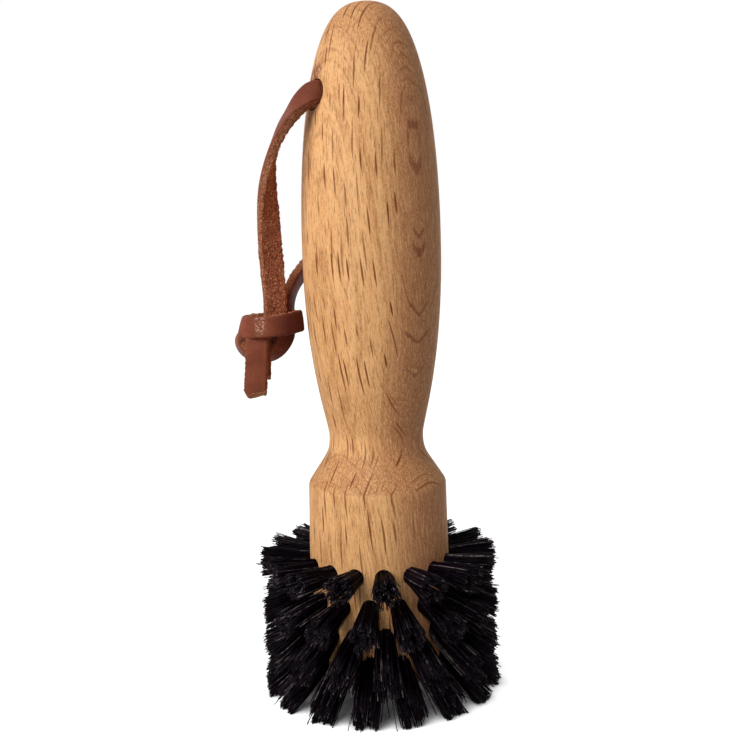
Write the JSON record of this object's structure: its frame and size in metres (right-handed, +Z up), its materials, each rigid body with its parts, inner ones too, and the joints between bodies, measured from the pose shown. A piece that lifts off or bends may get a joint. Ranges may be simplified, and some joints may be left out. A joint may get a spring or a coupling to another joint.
{
  "type": "socket brush",
  "caption": "Turned wooden brush with rings of stiff dark bristle tufts round its head, a waisted barrel handle and a knotted leather strap through a cross bore, for scrubbing round sockets.",
  "frame": {"origin": "on the handle's axis, in the plane of the lowest bristle tips that the brush stands on", "axes": "+Z up the handle from the bristles to the crown, -Y to the front, +X to the right seen from the front"},
  "size_m": [0.0631, 0.0582, 0.1679],
  "materials": {
    "beech": "oiled satin",
    "bristle": "satin strands",
    "anchor_wire": "drawn",
    "leather": "smooth grain side, fuzzy flesh side"
  },
  "bodies": {
    "brush": {"handle": "beech", "bristle_row_1": "bristle", "bristle_row_2": "bristle", "bristle_row_3": "bristle", "bristle_row_4": "bristle", "anchor_wire_1": "anchor_wire", "anchor_wire_2": "anchor_wire", "anchor_wire_3": "anchor_wire", "anchor_wire_4": "anchor_wire"},
    "strap": {"strap_bore_run": "leather", "strap_front_strand": "leather", "strap_rear_strand": "leather", "strap_knot": "leather"}
  },
  "joints": [
    {"name": "strap_swing", "type": "hinge", "parent": "brush", "child": "strap", "pos_m": [0, 0, 0.1457], "axis": [0.866, 0.5, 0], "range_deg": [0, 180]}
  ]
}
